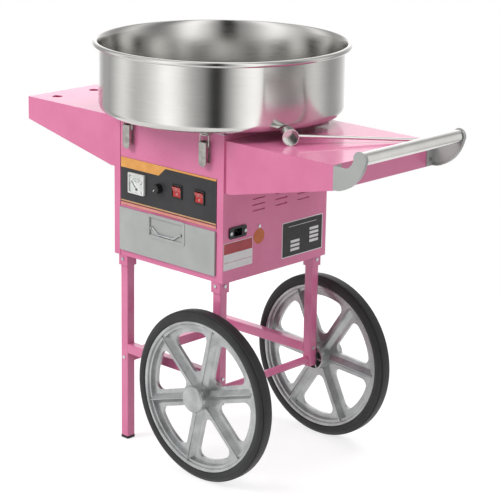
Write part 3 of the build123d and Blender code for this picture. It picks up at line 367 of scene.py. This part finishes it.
# fired ceramic that carries the heating wire: chalky and pale
firedCeramic = addFinish("firedCeramic", {
    "shades": ("#C4B8A2", "#D3C9B6"), "patch": 10, "grain": 0.8, "depth": 0.05,
    "roughness": (0.7, 0.85),
})
# black stoving paint on the motor's can, with its orange-peel
motorPaint = addFinish("motorPaint", {
    "shades": ("#1A1B1D", "#242527"), "patch": 25, "grain": 1.5, "depth": 0.05,
    "roughness": (0.35, 0.5), "edge": 1.0,
})
# printed inks and label stock: flat layers with a slight gloss and uneven coverage
orangeInk = addFinish("orangeInk", {
    "shades": ("#DE9A4C", "#E6A659"), "patch": 22, "grain": 0.5, "depth": 0.005,
    "roughness": (0.35, 0.48),
})
tanInk = addFinish("tanInk", {
    "shades": ("#C79A6B", "#D2A87B"), "patch": 16, "grain": 0.5, "depth": 0.005,
    "roughness": (0.35, 0.48),
})
maroonInk = addFinish("maroonInk", {
    "shades": ("#6E2C30", "#7B363A"), "patch": 16, "grain": 0.5, "depth": 0.005,
    "roughness": (0.35, 0.48),
})
blackInk = addFinish("blackInk", {
    "shades": ("#1E1E1F", "#29292A"), "patch": 10, "grain": 0.5, "depth": 0.004,
    "roughness": (0.4, 0.5),
})
whiteVinyl = addFinish("whiteVinyl", {
    "shades": ("#DEDFE0", "#E9EAEA"), "patch": 18, "grain": 0.8, "depth": 0.008,
    "roughness": (0.3, 0.42),
})
redVinyl = addFinish("redVinyl", {
    "shades": ("#A63A42", "#B1444C"), "patch": 18, "grain": 0.8, "depth": 0.008,
    "roughness": (0.3, 0.42),
})
salmonInk = addFinish("salmonInk", {
    "shades": ("#D88A7E", "#E0958A"), "patch": 20, "grain": 0.5, "depth": 0.005,
    "roughness": (0.35, 0.48),
})
orangeVinyl = addFinish("orangeVinyl", {
    "shades": ("#C0602C", "#CC7038"), "patch": 12, "grain": 0.8, "depth": 0.008,
    "roughness": (0.3, 0.42),
})

slotFinish = {
    "pink_enamel": pinkEnamel,
    "grey_enamel": greyEnamel,
    "galvanised_steel": galvanisedSheet,
    "stainless": drawnStainless,
    "zinc_plate": zincPlate,
    "bright_chrome": brightNickel,
    "silver_nylon": silverNylon,
    "tyre_rubber": tyreRubber,
    "black_rubber": softRubber,
    "printed_panel": charcoalPrint,
    "black_plastic": blackPlastic,
    "white_plastic": whitePlastic,
    "clear_window": clearAcrylic,
    "red_plastic": redPlastic,
    "spun_aluminium": spunAluminium,
    "heater_ceramic": firedCeramic,
    "motor_paint": motorPaint,
}
nodeSlot = {part["node"]: part["material_slot"] for part in frame["record"]["subparts"]}
bodies = frame["record"]["behaviour"]["bodies"]
nodeBody = {node: body for body, nodes in bodies.items() for node in nodes}
for node, shown in frame["nodes"].items():
    shown.data.materials.clear()
    shown.data.materials.append(slotFinish[nodeSlot[node]])
print("finishes laid on the CAD nodes")


sharpFrom = 40  # degrees between faces that meet in a crease


# the finished mesh becomes a piece that rides on a body, and may stand for CAD nodes
def addPiece(name, shape, finish, body="root", nodes=()):
    mesh = bpy.data.meshes.new(name)
    shape.to_mesh(mesh)
    shape.free()
    mesh.materials.append(finish)
    mesh.shade_smooth()
    mesh.set_sharp_from_angle(angle=radians(sharpFrom))
    piece = bpy.data.objects.new(name, mesh)
    bpy.context.scene.collection.objects.link(piece)
    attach(piece, nodeBody[nodes[0]] if nodes else body)
    if nodes:
        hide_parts(*nodes)


def arc(centre, radius, start, end, count):  # points round a centre, angles in degrees
    turns = [radians(start + (end - start) * i / count) for i in range(count + 1)]
    return [(centre[0] + radius * cos(t), centre[1] + radius * sin(t)) for t in turns]


# a turn and a place on a face: X runs across it, Y up it and Z out of it
def turned(outward):
    out = Vector(outward).normalized()
    across = Vector((0, 0, 1)).cross(out).normalized()
    return Matrix((across, out.cross(across), out)).transposed().to_4x4()


def facing(x, y, z, outward):
    return Matrix.Translation(at(x, y, z)) @ turned(outward)


def shifted(place, across, up, out=0):
    return place @ Matrix.Translation((across * mm, up * mm, out * mm))


# how near a direction an edge or a face has to point to be rounded, and how finely
rounding = {"along": 0.9, "outer": 0.99, "cornerSegments": 5, "rimSegments": 3}


# a block standing on a place, with its corners and its outer rim rounded, in millimetres
def slab(shape, place, size, corner=0, rim=0):
    earlier = set(shape.faces)
    width, height, depth = (length * mm for length in size)
    grown = Matrix.Diagonal((width, height, depth, 1)) @ Matrix.Translation((0, 0, 0.5))
    verts = bmesh.ops.create_cube(shape, size=1, matrix=place @ grown)["verts"]
    out = place.to_3x3() @ Vector((0, 0, 1))
    if corner:
        edges = {edge for vert in verts for edge in vert.link_edges}
        ways = {edge: (edge.verts[0].co - edge.verts[1].co).normalized() for edge in edges}
        posts = [edge for edge in edges if abs(ways[edge].dot(out)) > rounding["along"]]
        bmesh.ops.bevel(shape, geom=posts, offset=corner * mm, affect="EDGES",
                        segments=rounding["cornerSegments"], profile=0.5, material=-1)
    if rim:
        shape.normal_update()
        grownFaces = [face for face in shape.faces if face not in earlier]
        top = [face for face in grownFaces if face.normal.dot(out) > rounding["outer"]]
        bmesh.ops.bevel(shape, geom=[edge for face in top for edge in face.edges], offset=rim * mm,
                        affect="EDGES", segments=rounding["rimSegments"], profile=0.5, material=-1)


def slabs(place, boxes, depth, corner=0, rim=0):  # boxes are (across, up, width, height)
    shape = bmesh.new()
    for across, up, width, height in boxes:
        slab(shape, shifted(place, across, up), (width, height, depth), corner, rim)
    return shape


def digits(shape, place, words, size, depth):  # plain figures, flat on a place
    curve = bpy.data.curves.new("digits", "FONT")
    curve.body, curve.size, curve.extrude = words, size * mm, depth * mm / 2
    curve.align_x, curve.align_y = "CENTER", "CENTER"
    holder = bpy.data.objects.new("digits", curve)
    mesh = bpy.data.meshes.new_from_object(holder)
    mesh.transform(shifted(place, 0, 0, depth / 2))
    shape.from_mesh(mesh)
    bpy.data.objects.remove(holder)


standOff = 400  # in front of the cabinet's middle, clear of everything


def touch(node, x, z):  # the place where a line straight in from the front meets a node
    start, inward = at(x, -standOff, z), Vector((0, 1, 0))
    spot, normal = frame["nodes"][node].ray_cast(start, inward)[1:3]
    return Matrix.Translation(spot) @ turned(normal)


weld = 0.01  # points of a spun shape that are nearer than this become one


# a profile of (radius, height) in millimetres is spun about Z, then laid on its place
def spun(profile, place, steps, closed=True):
    shape = bmesh.new()
    ring = [shape.verts.new((r * mm, 0, h * mm)) for r, h in profile]
    pairs = list(zip(ring, ring[1:] + ring[:1])) if closed else list(zip(ring, ring[1:]))
    edges = [shape.edges.new(pair) for pair in pairs]
    bmesh.ops.spin(shape, geom=ring + edges, cent=(0, 0, 0), axis=(0, 0, 1), angle=2 * pi,
                   steps=steps, use_merge=True)
    bmesh.ops.remove_doubles(shape, verts=shape.verts, dist=weld * mm)
    bmesh.ops.recalc_face_normals(shape, faces=shape.faces)
    bmesh.ops.transform(shape, matrix=place, verts=shape.verts)
    return shape


def sideways(centre, sign=1):  # the profile's height points along Y, outwards on that side
    return Matrix.Translation(centre) @ Matrix.Rotation(-sign * pi / 2, 4, "X")


# bowl: one sheet spun to a flat floor and an upright wall, with a rolled bead round the rim
bowl = {
    "wall": 1.0, "corner": 18, "cornerSteps": 8, "opening": 95, "steps": 160,
    "bead": 5.5, "overhang": 1, "neck": 2, "curl": (200, 500), "curlSteps": 20,
}


def buildBowl(spec):
    low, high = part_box("bowl")
    centre = Vector(((low.x + high.x) / 2, (low.y + high.y) / 2, low.z))
    height = (high.z - low.z) / mm
    bead, wall, corner = spec["bead"], spec["wall"], spec["corner"]
    beadRadius = (high.x - low.x) / 2 / mm - bead
    beadHeight = height - bead
    outer = beadRadius - bead - spec["overhang"]
    middle = (outer - corner, corner)
    neck = beadHeight - bead - spec["neck"]
    profile = [(spec["opening"], 0)]
    profile += arc(middle, corner, -90, 0, spec["cornerSteps"])
    profile += [(outer, neck)]
    profile += arc((beadRadius, beadHeight), bead, *spec["curl"], spec["curlSteps"])
    profile += [(outer - wall, neck + wall)]
    profile += arc(middle, corner - wall, 0, -90, spec["cornerSteps"])
    profile += [(spec["opening"], wall)]
    shape = spun(profile, Matrix.Translation(centre), spec["steps"])
    addPiece("floss_bowl_wall", shape, spunStainless, nodes=["bowl"])


buildBowl(bowl)
print("bowl spun")


# wheels: a solid tyre with two shoulder grooves, and a domed cap over each hub
tyre = {
    "depth": 20.4, "bead": 14.5, "lip": (1.2, 1.4), "shoulder": 9, "steps": 160,
    # out from the rim, and in from the side
    "flank": ((3.5, 0.8), (7, 0.1), (10, 0), (13, 1.0), (15.3, 2.6)),
    # down from the tread, and out past the shoulder
    "groove": ((3.2, 3.6), (4.3, 2.9), (4.1, 2.1), (1.4, 1.4), (0.5, -0.2), (0.1, -3)),
}
hubCap = {
    "dome": 5, "domeTurn": 70, "domeSteps": 6, "step": 2.5, "steps": 96,
    "base": 0.5, "bevel": (2, 1.5), "ledge": (1.5, 0.4), "crown": (0.6, 0.4, 0.2),
}


def buildTyre(side, sign, spec):
    node = side + "_tyre"
    low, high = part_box(node)
    outer = (high.x - low.x) / 2 / mm
    half = (high.y - low.y) / 2 / mm
    rim, bead = outer - spec["depth"], spec["bead"]
    crown = [(rim, bead), (rim + spec["lip"][0], bead + spec["lip"][1])]
    crown += [(rim + out, half - side) for out, side in spec["flank"]]
    crown += [(outer - down, spec["shoulder"] + past) for down, past in spec["groove"]]
    profile = crown + [(outer, 0)] + [(r, -h) for r, h in reversed(crown)]
    shape = spun(profile, sideways((low + high) / 2, sign), spec["steps"])
    addPiece(node + "_rubber", shape, tyreRubber, nodes=[node])


def buildHubCap(side, sign, spec):
    node = side + "_hub_cap"
    low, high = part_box(node)
    radius = (high.x - low.x) / 2 / mm
    height = (high.y - low.y) / mm
    dome, step, base = spec["dome"], spec["step"], spec["base"]
    inset, rise = spec["bevel"]
    profile = [(0, base), (radius - inset, base), (radius, rise), (radius, height - dome - step)]
    profile += arc((radius - dome, height - dome - step), dome, 0, spec["domeTurn"], spec["domeSteps"])
    inset, rise = spec["ledge"]
    profile += [(radius - dome - inset, height - step + rise)]
    profile += [(radius * share, height - step * share ** 2) for share in spec["crown"]]
    profile += [(0, height)]
    centre = Vector(((low.x + high.x) / 2, low.y if sign > 0 else high.y, (low.z + high.z) / 2))
    shape = spun(profile, sideways(centre, sign), spec["steps"], closed=False)
    bmesh.ops.holes_fill(shape, edges=shape.edges)
    addPiece(node + "_dome", shape, silverNylon, nodes=[node])


for side, sign in wheelSides:
    buildTyre(side, sign, tyre)
    buildHubCap(side, sign, hubCap)
print("tyres and hub caps built")


# push handle: a bright tube between the two plates
pushHandle = {"wall": 1.2, "round": 0.5, "steps": 96}


def buildHandle(spec):
    low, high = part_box("handle_tube")
    radius, length = (high.x - low.x) / 2 / mm, (high.y - low.y) / mm
    inner, edge = radius - spec["wall"], spec["round"]
    profile = [
        (inner, 0), (radius - edge, 0), (radius, edge),
        (radius, length - edge), (radius - edge, length), (inner, length),
    ]
    start = Vector(((low.x + high.x) / 2, low.y, (low.z + high.z) / 2))
    shape = spun(profile, sideways(start), spec["steps"])
    addPiece("push_handle", shape, drawnStainless, nodes=["handle_tube"])


buildHandle(pushHandle)
print("handle built")


# wheel fins: a thin bright rib along the crest of every spoke, on both faces
fin = {
    "from": 25, "to": 146, "width": 2.2, "low": 11, "high": 14.2, "round": 0.5,
    "turns": {"front": 17, "rear": -4}, "count": 6,
}


def buildFins(side, sign, spec):
    rim, rubber = centreOf(side + "_wheel_rim"), centreOf(side + "_tyre")
    hub = Matrix.Translation((rim.x, rubber.y, rim.z))
    size = (spec["to"] - spec["from"], spec["width"], spec["high"] - spec["low"])
    middle = (spec["from"] + spec["to"]) / 2
    shape = bmesh.new()
    for i in range(spec["count"]):
        turn = radians(spec["turns"][side] + i * 360 / spec["count"])
        for out in (-sign, sign):
            spoke = hub @ Matrix.Rotation(-turn, 4, "Y") @ turned((0, out, 0))
            slab(shape, shifted(spoke, -out * middle, 0, spec["low"]), size, 0, spec["round"])
    addPiece(side + "_wheel_fins", shape, silverNylon, body=side + "_wheel")


for side, sign in wheelSides:
    buildFins(side, sign, fin)
print("wheel fins built")


# drawer pull: a raised pressed frame round the recess that the bail lies in
pullFrame = {"margin": 3.5, "width": 6.5, "behind": 2.0, "proud": 1.0, "corner": 6}


def buildPullFrame(spec):
    low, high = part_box("drawer_pull_plate")
    middle = centreOf("drawer_pull_plate")
    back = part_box("drawer_tray")[0].y + spec["behind"] * mm
    width = (high.x - low.x) / mm + 2 * spec["margin"]
    height = (high.z - low.z) / mm + 2 * spec["margin"]
    place = Matrix.Translation((middle.x, back, middle.z)) @ turned((0, -1, 0))
    shape = slabs(place, [(0, 0, width, height)], spec["behind"] + spec["proud"], spec["corner"])
    shape.normal_update()
    ends = [face for face in shape.faces if abs(face.normal.y) > rounding["outer"]]
    bmesh.ops.inset_individual(shape, faces=ends, thickness=spec["width"] * mm)
    rings = [edge for face in ends for edge in face.edges]
    bmesh.ops.delete(shape, geom=ends, context="FACES_ONLY")
    bmesh.ops.bridge_loops(shape, edges=rings)
    bmesh.ops.recalc_face_normals(shape, faces=shape.faces)
    addPiece("pull_frame", shape, greyEnamel, body="drawer")


buildPullFrame(pullFrame)
frame["nodes"]["drawer_pull_plate"].data.materials[0] = greyEnamel  # painted with its frame
print("pull frame built")


# vents: a pressed flap slopes in behind every louvre slot
vent = {
    "columns": (-52, 14, 80), "rows": (537, 549, 561, 573),
    "size": (34.6, 3.4, 0.6), "sunk": 1.9, "lean": 24,
}


def buildVents(spec):
    shape = bmesh.new()
    lean = Matrix.Rotation(radians(spec["lean"]), 4, "X")
    for y in spec["columns"]:
        for z in spec["rows"]:
            slab(shape, facing(sideFace - spec["sunk"], y, z, (1, 0, 0)) @ lean, spec["size"])
    addPiece("vent_flaps", shape, pinkEnamel)


buildVents(vent)
print("vents built")


# control overlay: a slanted header, lines and a band, all printed without words
overlay = {
    "face": 152, "half": 134.6, "ink": 0.12, "over": 0.03,
    "header": (590, 608), "slant": (-25, -5), "strip": (607, 611),
    "tan": (520, 522.5), "maroon": (518, 520), "salmon": (511.8, 517.5),
}


def buildOverlay(spec):
    face = facing(0, -spec["face"], 0, (0, -1, 0))
    half, ink = spec["half"], spec["ink"]
    low, high = spec["header"]
    inner, outer = spec["slant"]
    header = slabs(face, [((outer - half) / 2, (low + high) / 2, outer + half, high - low)], ink)
    cut = bmesh.ops.bisect_plane(
        header, geom=header.verts[:] + header.edges[:] + header.faces[:],
        plane_co=face @ Vector((inner * mm, low * mm, 0)),
        plane_no=face.to_3x3() @ Vector((high - low, inner - outer, 0)), clear_outer=True,
    )["geom_cut"]
    rim = [edge for edge in cut if isinstance(edge, bmesh.types.BMEdge)]
    bmesh.ops.holes_fill(header, edges=rim)
    low, high = spec["strip"]
    slab(header, shifted(face, 0, (low + high) / 2), (2 * half, high - low, ink + spec["over"]))
    addPiece("overlay_header", header, orangeInk)
    for name, finish in (("tan", tanInk), ("maroon", maroonInk), ("salmon", salmonInk)):
        low, high = spec[name]
        line = slabs(face, [(0, (low + high) / 2, 2 * half, high - low)], ink)
        addPiece("overlay_" + name + "_line", line, finish)


buildOverlay(overlay)
print("overlay printed")


# meter dial: an arc with ticks and plain numbers round the needle's pivot
dial = {
    "pivot": (-86.5, 551), "face": 153.5, "radius": 22, "ink": 0.05, "line": 0.4, "lap": 0.05,
    "sweep": (45, 135), "ticks": 12, "chords": 4, "majorEvery": 4, "long": 3.4, "short": 2.0,
    "tickInk": 0.06, "numbers": ("300", "200", "100", "0"), "inner": 16.6, "size": 3.6,
}


def buildDial(spec):
    x, z = spec["pivot"]
    pivot = facing(x, -spec["face"], z, (0, -1, 0))
    first, last = spec["sweep"]
    radius, ink, count = spec["radius"], spec["ink"], spec["ticks"]
    pitch = (last - first) / (spec["chords"] * count)
    chord = radius * radians(pitch) + spec["lap"]
    shape = bmesh.new()
    half = Matrix.Rotation(radians(pitch / 2), 4, "Z")
    for step in range(spec["chords"] * count + 1):
        turn = pivot @ Matrix.Rotation(radians(first + pitch * step), 4, "Z")
        if step < spec["chords"] * count:
            slab(shape, shifted(turn @ half, radius, 0), (spec["line"], chord, ink))
        tick, between = divmod(step, spec["chords"])
        if not between:
            length = spec["short"] if tick % spec["majorEvery"] else spec["long"]
            place = shifted(turn, radius - length / 2, 0)
            slab(shape, place, (length, spec["line"], spec["tickInk"]))
    for i, words in enumerate(spec["numbers"]):
        turn = radians(first + (last - first) * i / (len(spec["numbers"]) - 1))
        place = shifted(pivot, spec["inner"] * cos(turn), spec["inner"] * sin(turn))
        digits(shape, place, words, spec["size"], ink)
    addPiece("meter_scale", shape, blackInk)


buildDial(dial)
print("meter dial printed")


# heat knob: a fluted grip and a white pointer that starts at the lower left
knob = {
    "ribs": 28, "rib": (0.9, 0.9), "ribSunk": 0.75, "ribRound": 0.2, "gripFrom": 3.2, "gripTo": 10.6,
    "pointer": (1.3, 5.6), "pointerFrom": 1.2, "pointerInk": 0.12, "pointerRound": 0.3, "turn": 225,
}


def buildKnob(spec):
    low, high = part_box("heat_knob")
    middle = centreOf("heat_knob")
    front = Matrix.Translation((middle.x, low.y, middle.z)) @ turned((0, -1, 0))
    sunk = (high.x - low.x) / 2 / mm - spec["ribSunk"]
    width, depth = spec["rib"]
    size, edge = (depth, width, spec["gripTo"] - spec["gripFrom"]), spec["ribRound"]
    ribs = bmesh.new()
    for i in range(spec["ribs"]):
        turn = Matrix.Rotation(2 * pi * i / spec["ribs"], 4, "Z")
        slab(ribs, shifted(front @ turn, sunk, 0, -spec["gripTo"]), size, edge, edge)
    addPiece("knob_ribs", ribs, blackPlastic, body="knob")
    width, length = spec["pointer"]
    line = (length / 2 + spec["pointerFrom"], 0, length, width)
    turn = Matrix.Rotation(radians(spec["turn"]), 4, "Z")
    mark = slabs(front @ turn, [line], spec["pointerInk"], spec["pointerRound"])
    addPiece("knob_pointer", mark, whiteVinyl, body="knob")


buildKnob(knob)
print("knob marked")


# rockers: a white bar on the upper half and a white ring on the lower half of each
rocker = {
    "height": 567, "switches": (("heater", 27.3), ("motor", 89.6)), "up": 5.4, "ink": 0.08,
    "bar": (0.9, 4.4), "barRound": 0.2, "ring": (1.5, 2.1), "ringSteps": 48,
}


def buildRockerMarks(spec):
    ink, (inner, outer) = spec["ink"], spec["ring"]
    profile = [(inner, 0), (outer, 0), (outer, ink), (inner, ink)]
    for name, x in spec["switches"]:
        upper = touch(name + "_rocker", x, spec["height"] + spec["up"])
        lower = touch(name + "_rocker", x, spec["height"] - spec["up"])
        bar = slabs(upper, [(0, 0, *spec["bar"])], ink, spec["barRound"])
        ring = spun(profile, lower, spec["ringSteps"])
        addPiece(name + "_on_bar", bar, whiteVinyl, body=name + "_switch")
        addPiece(name + "_off_ring", ring, whiteVinyl, body=name + "_switch")


bpy.context.view_layer.update()
buildRockerMarks(rocker)
print("rockers marked")


# labels on the right side: a blank card, a disc and a data plate, none with words
labels = {
    "vinyl": 0.15, "layer": 0.06, "corner": 2, "innerCorner": 1.5, "discSteps": 96,
    "card": (-109, 457.5, 82, 55), "cardBand": (-109, 473, 80, 21.6), "cardRule": (-109, 445, 78, 0.8),
    "disc": (-49.7, 482.6, 15.8),
    "plate": (79.75, 458, 122.5, 74), "plateInner": (79.75, 458, 118.9, 70.4),
    "blocks": [(114.7, z, 27, 5.6) for z in (469, 460.4, 451.8, 443.2)]
    + [(57.7, z, 27, 5.6) for z in (451.8, 443.2, 434.6)] + [(79.75, 484, 84, 1.0)],
}


def buildLabels(spec):
    face = facing(sideFace, 0, 0, (1, 0, 0))
    thin, layer, corner = spec["vinyl"], spec["layer"], spec["corner"]
    addPiece("side_card", slabs(face, [spec["card"]], thin, corner), whiteVinyl)
    band = slabs(face, [spec["cardBand"], spec["cardRule"]], thin + layer)
    addPiece("side_card_band", band, redVinyl)
    y, z, radius = spec["disc"]
    profile = [(0, 0), (radius, 0), (radius, thin), (0, thin)]
    disc = spun(profile, shifted(face, y, z), spec["discSteps"], closed=False)
    addPiece("side_disc", disc, orangeVinyl)
    border = slabs(face, [spec["plate"]], thin, corner)
    addPiece("data_plate_border", border, whiteVinyl)
    plate = slabs(face, [spec["plateInner"]], thin + layer, spec["innerCorner"])
    addPiece("data_plate", plate, blackInk)
    blocks = slabs(face, spec["blocks"], thin + 2 * layer)
    addPiece("data_plate_blocks", blocks, whiteVinyl)


buildLabels(labels)
print("labels laid")

bpy.context.view_layer.update()
